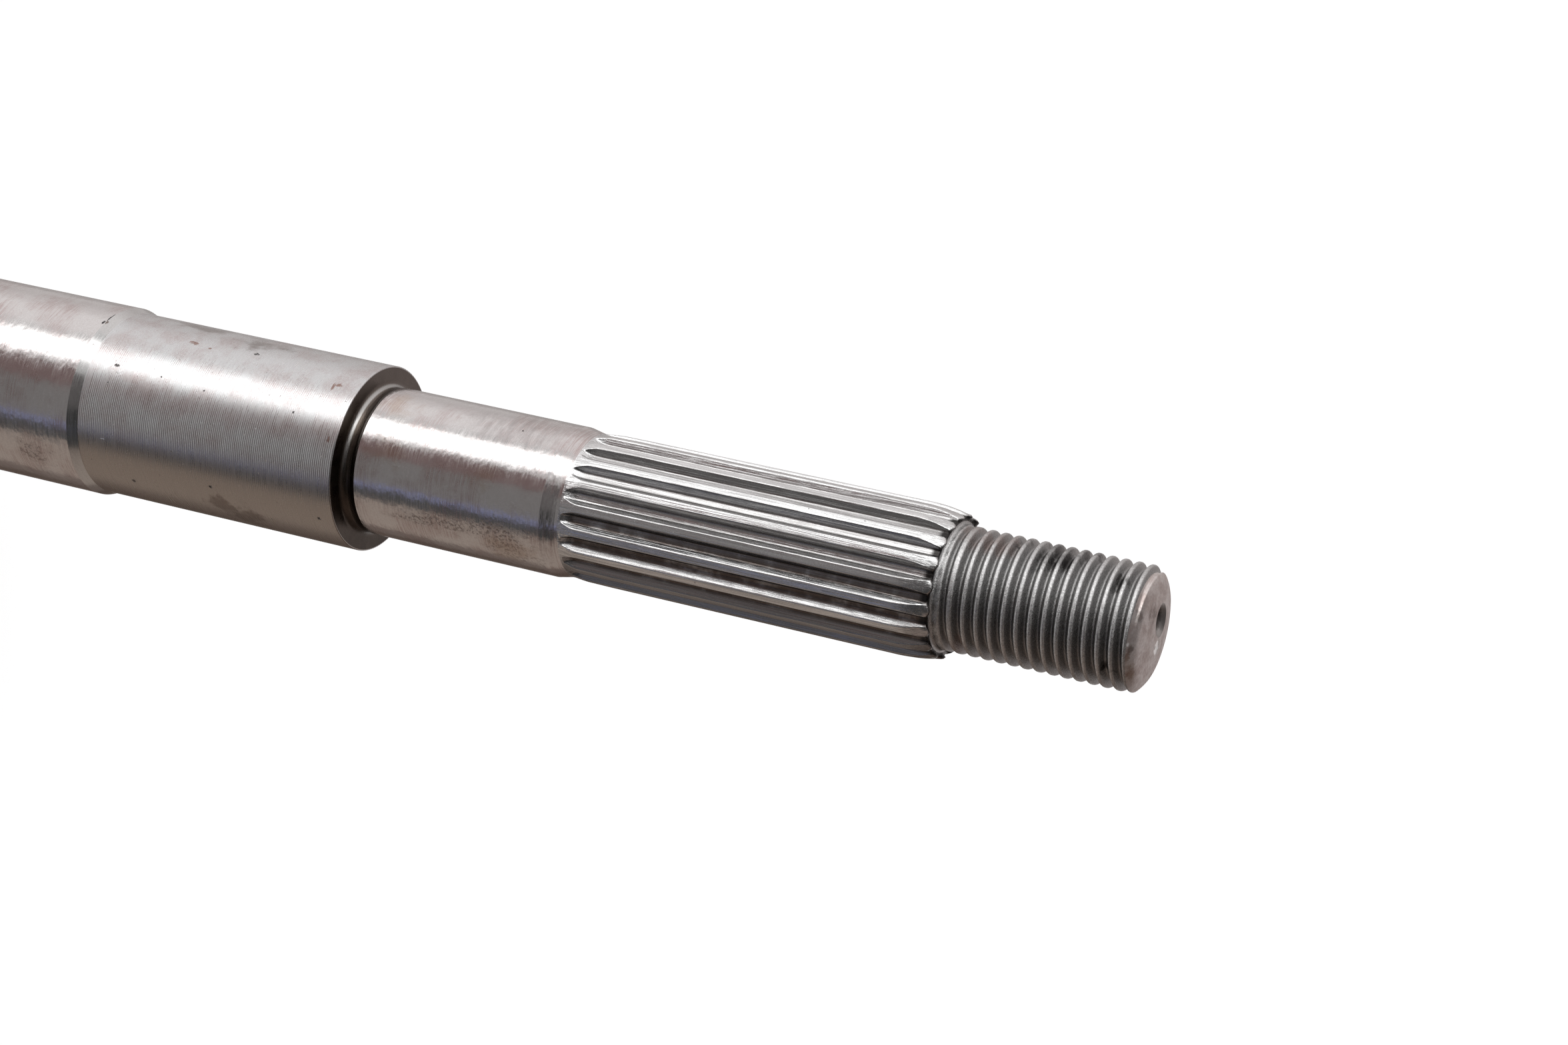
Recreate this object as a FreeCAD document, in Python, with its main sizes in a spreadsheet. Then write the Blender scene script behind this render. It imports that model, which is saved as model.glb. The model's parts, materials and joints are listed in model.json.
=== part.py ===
import FreeCAD, Part
import math
import os
import Sketcher

# Transmission shaft, turned and cut from one bar of steel, in millimetres.
# It stands on its plain end at z = 0 with its axis along +Z and its thread on top.
# From the bottom up: a large seat, a second seat, an undercut shoulder, a bearing
# journal, a neck, a 19 tooth involute spline and an M14 x 1.5 thread.

NODE = "transmission_shaft"

# Each size: its name, its value in mm or degrees, and what it measures.
SIZES = (
    ("big_diameter", 22.7, "large seat at the plain end"),
    ("big_length", 50.4, "large seat, from the plain end to the step"),
    ("base_chamfer", 0.5, "45 degree chamfer round the plain end"),
    ("step_length", 1.3, "shallow cone between the two seats"),
    ("second_diameter", 21.75, "second seat"),
    ("second_length", 34.3, "second seat, up to its shoulder"),
    ("edge_break", 0.12, "broken edge of the shoulder"),
    ("journal_diameter", 17.25, "bearing journal"),
    ("journal_length", 25.5, "journal with its undercut, from the shoulder"),
    ("undercut_width", 1.75, "undercut at the foot of the journal"),
    ("undercut_depth", 0.25, "undercut below the journal"),
    ("undercut_fillet", 0.9, "fillet between the undercut and the shoulder"),
    ("undercut_slope", 0.6, "length of the slope from the undercut up to the journal"),
    ("neck_diameter", 16.5, "neck between the journal and the spline"),
    ("neck_cone_length", 1.8, "cone from the journal down to the neck"),
    ("neck_length", 0.6, "plain part of the neck"),
    ("spline_length", 43.6, "spline, from the neck to its end face"),
    ("spline_diameter", 16.95, "over the tips of the teeth"),
    ("spline_root_diameter", 15.25, "at the bottom of the tooth gaps"),
    ("spline_teeth", 19, "number of teeth"),
    ("pressure_angle", 30, "slope of the flanks at the pitch circle"),
    ("root_fillet", 0.35, "fillets at the bottom of a tooth gap"),
    ("crown_length", 2.9, "rise of the teeth from the neck to their full height"),
    ("runout_length", 2.2, "ramp on which a tooth gap runs out at the neck"),
    ("lead_length", 4.2, "rounded lead at the open end of the teeth"),
    ("lead_diameter", 15.9, "over the teeth at their end face"),
    ("lead_break", 0.2, "broken edge of the teeth at their end face"),
    ("thread_foot_length", 2.43, "from the spline's end face to the foot of the full thread"),
    ("thread_crest_diameter", 13.75, "over the crests of the M14 thread"),
    ("thread_root_diameter", 12.16, "at the bottom of the thread"),
    ("thread_pitch", 1.5, "pitch, right hand"),
    ("thread_angle", 60, "angle between the flanks"),
    ("thread_root_flat", 0.25, "width of the bottom of the thread"),
    ("thread_full_length", 20.07, "full thread, from its foot up to the tip's edge"),
    ("thread_start_angle", 180, "direction in which the full thread ends, from +X about +Z"),
    ("thread_runout_turns", 1.2, "turns in which the thread fades out"),
    ("thread_runout_rise", 0.05, "how far the faded profile ends outside the crests"),
    ("tip_chamfer", 0.85, "45 degree chamfer at the tip"),
    ("tip_crown", 0.7, "height of the domed end face above its edge"),
    ("centre_mouth_diameter", 3.5, "mouth of a centre hole"),
    ("centre_pilot_diameter", 1.6, "pilot of a centre hole"),
    ("centre_angle", 60, "angle of the cone of a centre hole"),
    ("centre_depth", 3.6, "depth of a centre hole to the foot of its pilot"),
    ("tip_centre_offset", 1.3, "how far the hole at the tip lies off the axis, towards -X"),
    ("cut_clearance", 0.5, "how far a cutting profile reaches past the metal"),
)

# Sizes worked out from the ones above.
PLACES = (
    ("big_radius", "Sizes.big_diameter / 2"),
    ("base_radius", "big_radius - Sizes.base_chamfer"),
    ("second_radius", "Sizes.second_diameter / 2"),
    ("shoulder_radius", "second_radius - Sizes.edge_break"),
    ("journal_radius", "Sizes.journal_diameter / 2"),
    ("undercut_radius", "journal_radius - Sizes.undercut_depth"),
    ("undercut_fillet_radius", "undercut_radius + Sizes.undercut_fillet"),
    ("neck_radius", "Sizes.neck_diameter / 2"),
    ("spline_radius", "Sizes.spline_diameter / 2"),
    ("spline_root_radius", "Sizes.spline_root_diameter / 2"),
    ("lead_radius", "Sizes.lead_diameter / 2"),
    ("lead_face_radius", "lead_radius - Sizes.lead_break"),
    ("crest_radius", "Sizes.thread_crest_diameter / 2"),
    ("tip_radius", "crest_radius - Sizes.tip_chamfer"),
    ("tip_curve", "(tip_radius * tip_radius / Sizes.tip_crown + Sizes.tip_crown) / 2"),
    ("step_height", "Sizes.big_length + Sizes.step_length"),
    ("shoulder_height", "step_height + Sizes.second_length"),
    ("shoulder_edge_height", "shoulder_height - Sizes.edge_break"),
    ("undercut_fillet_height", "shoulder_height + Sizes.undercut_fillet"),
    ("undercut_end_height", "shoulder_height + Sizes.undercut_width"),
    ("undercut_slope_height", "undercut_end_height - Sizes.undercut_slope"),
    ("journal_height", "shoulder_height + Sizes.journal_length"),
    ("neck_height", "journal_height + Sizes.neck_cone_length"),
    ("spline_height", "neck_height + Sizes.neck_length"),
    ("crown_height", "spline_height + Sizes.crown_length"),
    ("face_height", "spline_height + Sizes.spline_length"),
    ("face_edge_height", "face_height - Sizes.lead_break"),
    ("lead_height", "face_height - Sizes.lead_length"),
    ("lead_run", "Sizes.lead_length - Sizes.lead_break"),
    ("lead_drop", "spline_radius - lead_radius"),
    ("lead_curve", "(lead_run * lead_run + lead_drop * lead_drop) / (2 * lead_drop)"),
    ("thread_stop_height", "face_height + Sizes.thread_foot_length"),
    ("tip_edge_height", "thread_stop_height + Sizes.thread_full_length"),
    ("tip_chamfer_height", "tip_edge_height - Sizes.tip_chamfer"),
    ("tip_height", "tip_edge_height + Sizes.tip_crown"),
    ("pitch_radius", "Sizes.spline_diameter * Sizes.spline_teeth / (Sizes.spline_teeth + 1) / 2"),
    ("flank_curve", "pitch_radius * sin(Sizes.pressure_angle)"),
    ("flank_base_radius", "pitch_radius * cos(Sizes.pressure_angle)"),
    ("flank_base_angle", "90 / Sizes.spline_teeth + Sizes.pressure_angle"),
    ("flank_centre_x", "flank_base_radius * cos(flank_base_angle)"),
    ("flank_centre_y", "flank_base_radius * sin(flank_base_angle)"),
    ("gap_mouth_radius", "spline_radius + Sizes.cut_clearance"),
    ("gap_height", "spline_height + Sizes.runout_length"),
    ("runout_slope", "(neck_radius - spline_root_radius) / Sizes.runout_length"),
    ("runout_reach", "(gap_mouth_radius - spline_root_radius) / runout_slope"),
    ("runout_travel", "runout_reach * sqrt(1 + runout_slope * runout_slope)"),
    ("thread_root_radius", "Sizes.thread_root_diameter / 2"),
    ("thread_cut_radius", "crest_radius + Sizes.cut_clearance"),
    ("thread_flank_slope", "tan(Sizes.thread_angle / 2)"),
    ("thread_cut_depth", "thread_cut_radius - thread_root_radius"),
    ("thread_cut_half", "Sizes.thread_root_flat / 2 + thread_cut_depth * thread_flank_slope"),
    ("thread_root_low", "thread_stop_height - Sizes.thread_root_flat / 2"),
    ("thread_root_high", "thread_stop_height + Sizes.thread_root_flat / 2"),
    ("thread_mouth_low", "thread_stop_height - thread_cut_half"),
    ("thread_mouth_high", "thread_stop_height + thread_cut_half"),
    ("thread_cut_length", "Sizes.thread_full_length + 1.5 * Sizes.thread_pitch"),
    ("thread_fade_length", "Sizes.thread_pitch * Sizes.thread_runout_turns"),
    ("thread_fade_rise", "crest_radius - thread_root_radius + Sizes.thread_runout_rise"),
    ("thread_fade_angle", "atan(thread_fade_rise / thread_fade_length)"),
    ("centre_mouth_radius", "Sizes.centre_mouth_diameter / 2"),
    ("centre_pilot_radius", "Sizes.centre_pilot_diameter / 2"),
    ("centre_cone_depth",
     "(centre_mouth_radius - centre_pilot_radius) / tan(Sizes.centre_angle / 2)"),
    ("centre_point_depth", "Sizes.centre_depth + centre_pilot_radius * tan(31)"),
    ("tip_cone_height", "tip_height - centre_cone_depth"),
    ("tip_pilot_height", "tip_height - Sizes.centre_depth"),
    ("tip_point_height", "tip_height - centre_point_depth"),
)

doc = FreeCAD.newDocument("Transmission")


def make_sheet(name, rows):
    sheet = doc.addObject("Spreadsheet::Sheet", name)
    for row, cells in enumerate(rows, 1):
        sheet.set(f"A{row}", cells[0])
        sheet.set(f"B{row}", cells[1])
        sheet.setAlias(f"B{row}", cells[0])
        if len(cells) > 2:
            sheet.set(f"C{row}", cells[2])
    doc.recompute()
    return sheet


sizes = make_sheet("Sizes", [(name, str(value), note) for name, value, note in SIZES])
places = make_sheet("Places", [(name, "=" + formula) for name, formula in PLACES])
SIZE_NAMES = [row[0] for row in SIZES]


def cell(name):
    """The expression that reads a named cell."""
    return ("Sizes." if name in SIZE_NAMES else "Places.") + name


def value(name):
    """The number that a named cell holds now, or 0 for a point on an axis."""
    if name is None:
        return 0.0
    return float(getattr(sizes if name in SIZE_NAMES else places, name))


def bind(sketch, kind, geometry, name, guess):
    """Adds one dimension to a sketch and ties it to a named cell."""
    index = sketch.addConstraint(Sketcher.Constraint(kind, *geometry, guess))
    sketch.renameConstraint(index, f"{name}_{index}")
    sketch.setExpression(f"Constraints.{name}_{index}", cell(name))


def fix_point(sketch, geometry, end, point):
    """Holds one end of an edge at a pair of named cells, where None is 0."""
    for kind, name in zip(("DistanceX", "DistanceY"), point):
        if name is None:
            axis = -2 if kind == "DistanceX" else -1
            sketch.addConstraint(Sketcher.Constraint("PointOnObject", geometry, end, axis))
        else:
            bind(sketch, kind, (-1, 1, geometry, end), name, value(name))


def vector(point):
    return FreeCAD.Vector(value(point[0]), value(point[1]), 0)


def arc_between(start, end, radius, bulge):
    """An arc between two points, which turns left for bulge 1 and right for bulge -1."""
    chord = end - start
    half = chord.Length / 2
    side = FreeCAD.Vector(-chord.y, chord.x, 0).normalize() * bulge
    centre = (start + end) / 2 + side * math.sqrt(max(radius * radius - half * half, 0))
    middle = centre - side * radius
    return Part.Arc(start, middle, end)


def add_outline(sketch, corners):
    """Draws a closed outline. A corner is (x, y), or (x, y, radius, bulge) where an arc
    leads from it to the next corner."""
    count = len(corners)
    first = sketch.GeometryCount
    for index, corner in enumerate(corners):
        start = vector(corner)
        end = vector(corners[(index + 1) % count])
        if len(corner) == 4:
            sketch.addGeometry(arc_between(start, end, value(corner[2]), corner[3]))
        else:
            sketch.addGeometry(Part.LineSegment(start, end))
    # An arc's own start is always the end that lies clockwise, so its ends swap
    # when it turns right.
    ends = [(2, 1) if len(corner) == 4 and corner[3] < 0 else (1, 2) for corner in corners]
    for index, corner in enumerate(corners):
        following = (index + 1) % count
        sketch.addConstraint(Sketcher.Constraint(
            "Coincident", first + index, ends[index][1], first + following, ends[following][0]))
    for index, corner in enumerate(corners):
        fix_point(sketch, first + index, ends[index][0], corner[:2])
        if len(corner) == 4:
            bind(sketch, "Radius", (first + index,), corner[2], value(corner[2]))


def origin_item(body, role):
    return [item for item in body.Origin.OriginFeatures if item.Role == role][0]


def make_sketch(body, name, plane):
    sketch = body.newObject("Sketcher::SketchObject", name)
    sketch.AttachmentSupport = [(origin_item(body, plane), "")]
    sketch.MapMode = "FlatFace"
    return sketch


def cut_check(feature, before):
    """Stops the script when a cut took nothing away."""
    doc.recompute()
    if not feature.Shape.Volume < before - 0.01:
        raise RuntimeError(feature.Name + " cuts nothing")


body = doc.addObject("PartDesign::Body", "Shaft")
body.Label = NODE

# The turned form: half the section of the shaft, spun about its axis.
half_section = make_sketch(body, "HalfSection", "XZ_Plane")
add_outline(half_section, (
    (None, None),
    ("base_radius", None),
    ("big_radius", "base_chamfer"),
    ("big_radius", "big_length"),
    ("second_radius", "step_height"),
    ("second_radius", "shoulder_edge_height"),
    ("shoulder_radius", "shoulder_height"),
    ("undercut_fillet_radius", "shoulder_height", "undercut_fillet", -1),
    ("undercut_radius", "undercut_fillet_height"),
    ("undercut_radius", "undercut_slope_height"),
    ("journal_radius", "undercut_end_height"),
    ("journal_radius", "journal_height"),
    ("neck_radius", "neck_height"),
    ("neck_radius", "spline_height"),
    ("spline_radius", "crown_height"),
    ("spline_radius", "lead_height", "lead_curve", 1),
    ("lead_radius", "face_edge_height"),
    ("lead_face_radius", "face_height"),
    ("crest_radius", "face_height"),
    ("crest_radius", "tip_chamfer_height"),
    ("tip_radius", "tip_edge_height", "tip_curve", 1),
    (None, "tip_height"),
))
turned = body.newObject("PartDesign::Revolution", "Turned")
turned.Profile = half_section
turned.ReferenceAxis = (half_section, ["V_Axis"])
turned.Angle = 360
doc.recompute()

# One tooth gap of the spline, on +X: rounded at the bottom, with flanks that are
# arcs about a point of the involute's base circle.
gap = make_sketch(body, "ToothGap", "XY_Plane")
gap.setExpression("AttachmentOffset.Base.z", cell("gap_height"))
flank_centre = vector(("flank_centre_x", "flank_centre_y"))
flank_curve = value("flank_curve")
fillet_x = value("spline_root_radius") + value("root_fillet")
fillet_y = flank_centre.y - math.sqrt(
    (flank_curve + value("root_fillet")) ** 2 - (fillet_x - flank_centre.x) ** 2)
mouth_y = flank_centre.y - math.sqrt(
    flank_curve ** 2 - (value("gap_mouth_radius") - flank_centre.x) ** 2)
for side in (1, -1):
    centre = FreeCAD.Vector(flank_centre.x, flank_centre.y * side, 0)
    mouth = FreeCAD.Vector(value("gap_mouth_radius"), mouth_y * side, 0)
    fillet = FreeCAD.Vector(fillet_x, fillet_y * side, 0)
    touch = centre + (fillet - centre).normalize() * flank_curve
    flank_middle = centre + ((mouth + touch) / 2 - centre).normalize() * flank_curve
    gap.addGeometry(Part.Arc(touch, flank_middle, mouth))
    foot = FreeCAD.Vector(value("spline_root_radius"), fillet.y, 0)
    fillet_middle = fillet + ((foot + touch) / 2 - fillet).normalize() * value("root_fillet")
    gap.addGeometry(Part.Arc(foot, fillet_middle, touch))
mouth_high = FreeCAD.Vector(value("gap_mouth_radius"), mouth_y, 0)
mouth_low = FreeCAD.Vector(value("gap_mouth_radius"), -mouth_y, 0)
root_high = FreeCAD.Vector(value("spline_root_radius"), fillet_y, 0)
root_low = FreeCAD.Vector(value("spline_root_radius"), -fillet_y, 0)
gap.addGeometry(Part.LineSegment(mouth_low, mouth_high))
gap.addGeometry(Part.LineSegment(root_high, root_low))
HIGH_FLANK, HIGH_FILLET, LOW_FLANK, LOW_FILLET, MOUTH, ROOT = range(6)


def end_at(geometry, point):
    """Which end of an edge of the tooth gap lies at a point: 1 its start, 2 its end."""
    start, end = gap.getPoint(geometry, 1), gap.getPoint(geometry, 2)
    return 1 if (start - point).Length < (end - point).Length else 2


for flank, fillet, mouth, root, side in ((HIGH_FLANK, HIGH_FILLET, mouth_high, root_high, 1),
                                         (LOW_FLANK, LOW_FILLET, mouth_low, root_low, -1)):
    gap.addConstraint(Sketcher.Constraint(
        "Coincident", flank, end_at(flank, mouth), MOUTH, end_at(MOUTH, mouth)))
    gap.addConstraint(Sketcher.Constraint(
        "Tangent", fillet, 3 - end_at(fillet, root), flank, 3 - end_at(flank, mouth)))
    gap.addConstraint(Sketcher.Constraint(
        "Tangent", fillet, end_at(fillet, root), ROOT, end_at(ROOT, root)))
    bind(gap, "Radius", (fillet,), "root_fillet", value("root_fillet"))
    bind(gap, "Radius", (flank,), "flank_curve", flank_curve)
gap.addConstraint(Sketcher.Constraint("Symmetric", HIGH_FLANK, 3, LOW_FLANK, 3, -1))
bind(gap, "DistanceX", (-1, 1, HIGH_FLANK, 3), "flank_centre_x", flank_centre.x)
bind(gap, "DistanceY", (-1, 1, HIGH_FLANK, 3), "flank_centre_y", flank_centre.y)
gap.addConstraint(Sketcher.Constraint("Vertical", MOUTH))
gap.addConstraint(Sketcher.Constraint("Vertical", ROOT))
bind(gap, "DistanceX", (-1, 1, MOUTH, 1), "gap_mouth_radius", value("gap_mouth_radius"))
bind(gap, "DistanceX", (-1, 1, ROOT, 1), "spline_root_radius", value("spline_root_radius"))
doc.recompute()

straight_gap = body.newObject("PartDesign::Pocket", "StraightGap")
straight_gap.Profile = gap
straight_gap.Type = "ThroughAll"
straight_gap.Reversed = True
cut_check(straight_gap, turned.Shape.Volume)

# Below full depth the same gap slopes outward, so that it runs out on the neck.
gap_runout = body.newObject("PartDesign::Pocket", "GapRunout")
gap_runout.Profile = gap
gap_runout.UseCustomVector = True
gap_runout.AlongSketchNormal = False
gap_runout.Direction = FreeCAD.Vector(value("runout_slope"), 0, -1)
gap_runout.setExpression("Direction.x", cell("runout_slope"))
gap_runout.setExpression("Length", cell("runout_travel"))
cut_check(gap_runout, straight_gap.Shape.Volume)

spline = body.newObject("PartDesign::PolarPattern", "Spline")
spline.Originals = [straight_gap, gap_runout]
spline.Axis = (origin_item(body, "Z_Axis"), [""])
spline.Angle = 360
spline.setExpression("Occurrences", cell("spline_teeth"))
body.Tip = spline
cut_check(spline, gap_runout.Shape.Volume)

# The thread: one gap profile, wound up past the tip, and wound down and outward
# below it until it leaves the metal.
thread_gap = make_sketch(body, "ThreadGap", "XZ_Plane")
thread_gap.AttachmentOffset = FreeCAD.Placement(
    FreeCAD.Vector(0, 0, 0), FreeCAD.Rotation(FreeCAD.Vector(0, 1, 0), value("thread_start_angle")))
thread_gap.setExpression("AttachmentOffset.Rotation.Angle", cell("thread_start_angle"))
add_outline(thread_gap, (
    ("thread_root_radius", "thread_root_low"),
    ("thread_cut_radius", "thread_mouth_low"),
    ("thread_cut_radius", "thread_mouth_high"),
    ("thread_root_radius", "thread_root_high"),
))
doc.recompute()


def cut_thread(name, below, mode, settings):
    helix = body.newObject("PartDesign::SubtractiveHelix", name)
    helix.Profile = thread_gap
    helix.ReferenceAxis = (origin_item(body, "Z_Axis"), [""])
    helix.Mode = mode
    helix.HasBeenEdited = True
    for setting, name_of_cell in settings.items():
        helix.setExpression(setting, cell(name_of_cell))
    helix.Reversed = below
    return helix


thread = cut_thread("Thread", False, "pitch-height-angle",
                    {"Pitch": "thread_pitch", "Height": "thread_cut_length"})
cut_check(thread, spline.Shape.Volume)
thread_fade = cut_thread("ThreadFade", True, "pitch-turns-angle",
                         {"Pitch": "thread_pitch", "Turns": "thread_runout_turns",
                          "Angle": "thread_fade_angle"})
cut_check(thread_fade, thread.Shape.Volume)

# A centre hole in each end. The one at the tip lies off the axis.
hole_sections = (
    ("TipCentre", "-Sizes.tip_centre_offset", (
        (None, "tip_height"),
        ("centre_mouth_radius", "tip_height"),
        ("centre_pilot_radius", "tip_cone_height"),
        ("centre_pilot_radius", "tip_pilot_height"),
        (None, "tip_point_height"),
    )),
    ("BaseCentre", "0", (
        (None, None),
        ("centre_mouth_radius", None),
        ("centre_pilot_radius", "centre_cone_depth"),
        ("centre_pilot_radius", "centre_depth"),
        (None, "centre_point_depth"),
    )),
)
for name, offset, corners in hole_sections:
    before = body.Tip.Shape.Volume
    section = make_sketch(body, name + "Section", "XZ_Plane")
    section.setExpression("AttachmentOffset.Base.x", offset)
    add_outline(section, corners)
    hole = body.newObject("PartDesign::Groove", name)
    hole.Profile = section
    hole.ReferenceAxis = (section, ["V_Axis"])
    hole.Angle = 360
    cut_check(hole, before)

doc.recompute()
for item in doc.Objects:
    if "Invalid" in item.State or "Error" in item.State:
        raise RuntimeError(f"{item.Name} failed: {item.State}")
shape = body.Shape
if shape.isNull() or not shape.isValid() or len(shape.Solids) != 1:
    raise RuntimeError(f"{body.Label} isn't one valid solid")

os.makedirs("parts", exist_ok=True)
shape.exportStep(f"parts/{body.Label}.step")
box = shape.BoundBox
print(f"{body.Label}: {box.XLength:.2f} x {box.YLength:.2f} x {box.ZLength:.2f} mm,"
      f" {shape.Volume:.0f} mm3, {len(shape.Faces)} faces")
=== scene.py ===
import json
import math

import bmesh
import bpy
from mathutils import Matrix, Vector


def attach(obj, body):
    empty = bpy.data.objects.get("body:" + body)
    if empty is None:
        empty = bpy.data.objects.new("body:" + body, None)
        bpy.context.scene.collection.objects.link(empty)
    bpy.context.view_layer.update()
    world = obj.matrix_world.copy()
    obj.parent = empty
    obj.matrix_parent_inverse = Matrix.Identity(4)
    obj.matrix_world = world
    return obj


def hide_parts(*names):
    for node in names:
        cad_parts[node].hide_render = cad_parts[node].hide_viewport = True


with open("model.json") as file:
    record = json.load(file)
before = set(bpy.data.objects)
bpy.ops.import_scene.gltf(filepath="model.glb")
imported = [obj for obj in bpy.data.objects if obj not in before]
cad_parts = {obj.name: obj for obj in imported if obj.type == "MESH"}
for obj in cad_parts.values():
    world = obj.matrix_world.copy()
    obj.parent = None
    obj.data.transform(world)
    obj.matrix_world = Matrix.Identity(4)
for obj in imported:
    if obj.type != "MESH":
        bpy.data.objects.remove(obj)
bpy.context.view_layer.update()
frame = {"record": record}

# Transmission shaft: one bar of alloy steel, turned all over, with its large seat and its
# journal ground, its spline and its thread cut, and a centre hole in each end.
# Sizes are in millimetres, and +Z runs from the plain end to the tip.
NODE = "transmission_shaft"
MM = 0.001
FINISHES = ("ground_steel", "step_steel", "turned_steel", "shoulder_steel", "splined_steel",
            "threaded_steel", "tip_steel", "hole_steel")
GROUND, STEP, TURNED, RELIEF, SPLINED, THREADED, TIP, HOLE = range(len(FINISHES))
mounts = {mount["name"]: mount for mount in frame["record"]["mounts"]}
points = []
faces = []
face_finishes = []

# The turned part, from the centre hole in the plain end up to the neck: the two seats, the
# shoulder with its undercut, and the journal. A lathe leaves its edges slightly rounded.
big_radius = mounts["large_seat"]["dims"]["r_mm"]
second_radius = mounts["second_seat"]["dims"]["r_mm"]
journal_radius = mounts["bearing_journal"]["dims"]["r_mm"]
shoulder_height = mounts["shoulder_face"]["pos_m"][2] / MM
base_chamfer = 0.5
big_height = 50.4
step_height = 51.7
undercut_radius = 8.375
undercut_fillet = 0.9
undercut_height = shoulder_height + 1.15
journal_start = shoulder_height + 1.75
journal_height = 111.5
neck_radius = 8.25
neck_height = 113.3
spline_height = 113.9
hole_mouth_radius = 1.75
hole_pilot_radius = 0.8
hole_cone_depth = 1.645
hole_pilot_depth = 3.6
hole_depth = 4.08

# Points round one ring. A ring of the spline has 28 to a tooth, one of the turned part has
# half as many, and one of the thread a quarter, so that each fits the next.
TEETH = 19
POINTS_TO_A_TOOTH = 28
spline_count = TEETH * POINTS_TO_A_TOOTH
turned_count = spline_count // 2
thread_count = spline_count // 4


def rounded(corners, steps):
    """The points of a path in (radius, height) whose corners (radius, height, rounding)
    are rounded with arcs."""
    path = []
    for index, (x, z, rounding) in enumerate(corners):
        here = Vector((x, z))
        if not rounding:
            path.append(here)
            continue
        back = (Vector(corners[index - 1][:2]) - here).normalized()
        ahead = (Vector(corners[index + 1][:2]) - here).normalized()
        half = back.angle(ahead) / 2
        reach = rounding / math.tan(half)
        centre = here + (back + ahead).normalized() * rounding / math.sin(half)
        start = here + back * reach - centre
        end = here + ahead * reach - centre
        path += [centre + start.slerp(end, step / steps).normalized() * rounding
                 for step in range(steps + 1)]
    return path


def add_ring(ring):
    """Adds a closed ring of points in mm, and gives the number of its first point."""
    points.extend(Vector(point) * MM for point in ring)
    return len(points) - len(ring)


def join_rings(low, high, count, finish):
    """Joins two rings of as many points with quads that face outwards."""
    for column in range(count):
        following = (column + 1) % count
        faces.append((low + column, low + following, high + following, high + column))
        face_finishes.append(finish)


def stack_rings(rings, finish):
    """Joins a stack of rings, each to the next, and gives the first points of its two ends."""
    starts = [add_ring(ring) for ring in rings]
    for low, high in zip(starts, starts[1:]):
        join_rings(low, high, len(rings[0]), finish)
    return starts[0], starts[-1]


def round_ring(radius, height, angles):
    return [(radius * math.cos(angle), radius * math.sin(angle), height) for angle in angles]


def even_angles(count):
    return [column * 2 * math.pi / count for column in range(count)]


# The places where one finish ends and the next begins.
hole_land = hole_mouth_radius + 0.2
step_low = Vector((big_radius, big_height)).lerp(Vector((second_radius, step_height)), 0.04)
step_high = Vector((big_radius, big_height)).lerp(Vector((second_radius, step_height)), 0.94)
shoulder_edge = second_radius - 0.16
undercut_edge = Vector((undercut_radius, undercut_height)).lerp(
    Vector((journal_radius, journal_start)), 0.85)
neck_end = spline_height - 0.25

# Each stretch of the outline: its finish, the steps of its arcs, and its corners.
outline = (
    (HOLE, 3, ((0, hole_depth, 0), (hole_pilot_radius, hole_pilot_depth, 0.1),
               (hole_pilot_radius, hole_cone_depth, 0.1), (hole_mouth_radius, 0, 0.12),
               (hole_land, 0, 0))),
    (GROUND, 3, ((hole_land, 0, 0), (big_radius - base_chamfer, 0, 0.12),
                 (big_radius, base_chamfer, 0.12), (big_radius, big_height, 0.02),
                 (*step_low, 0))),
    (STEP, 3, ((*step_low, 0), (*step_high, 0))),
    (TURNED, 5, ((*step_high, 0), (second_radius, step_height, 0.04),
                 (second_radius, shoulder_height, 0.13), (shoulder_edge, shoulder_height, 0))),
    (RELIEF, 9, ((shoulder_edge, shoulder_height, 0),
                 (undercut_radius, shoulder_height, undercut_fillet),
                 (undercut_radius, undercut_height, 0.2), (*undercut_edge, 0))),
    (GROUND, 4, ((*undercut_edge, 0), (journal_radius, journal_start, 0.06),
                 (journal_radius, journal_height, 0.3), (neck_radius, neck_height, 0.5),
                 (neck_radius, neck_end, 0))))
for finish, steps, corners in outline:
    neck_rings = stack_rings([round_ring(x, z, even_angles(turned_count))
                              for x, z in rounded(corners, steps)], finish)

# The spline: 19 involute teeth, with gaps that a round cutter left, so that each gap runs
# out at the neck on an arc. The teeth's edges are worn slightly round, and at the open end
# the teeth are turned to a rounded lead.
spline_radius = mounts["spline"]["dims"]["r_mm"]
root_radius = 7.625
root_fillet = 0.35
runout_radius = 3.0
crown_height = 116.8
lead_height = 153.3
lead_radius = 7.95
lead_break = 0.2
face_height = 157.5
edge_rounding = 0.14
end_bulge = 0.4
bulge_start = face_height - 1.5 * lead_break
tooth_pitch = 2 * math.pi / TEETH
pitch_radius = spline_radius * TEETH / (TEETH + 1)
pressure_angle = math.radians(30)
flank_curve = pitch_radius * math.sin(pressure_angle)
flank_angle = tooth_pitch / 4 + pressure_angle
flank_x = pitch_radius * math.cos(pressure_angle) * math.cos(flank_angle)
flank_y = pitch_radius * math.cos(pressure_angle) * math.sin(flank_angle)
fillet_x = root_radius + root_fillet
fillet_y = flank_y - math.sqrt((flank_curve + root_fillet) ** 2 - (fillet_x - flank_x) ** 2)
touch_x = flank_x + (fillet_x - flank_x) * flank_curve / (flank_curve + root_fillet)
gap_height = spline_height + math.sqrt(
    runout_radius ** 2 - (root_radius + runout_radius - neck_radius) ** 2)


def between(low, high, share):
    return low + (high - low) * share


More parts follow.
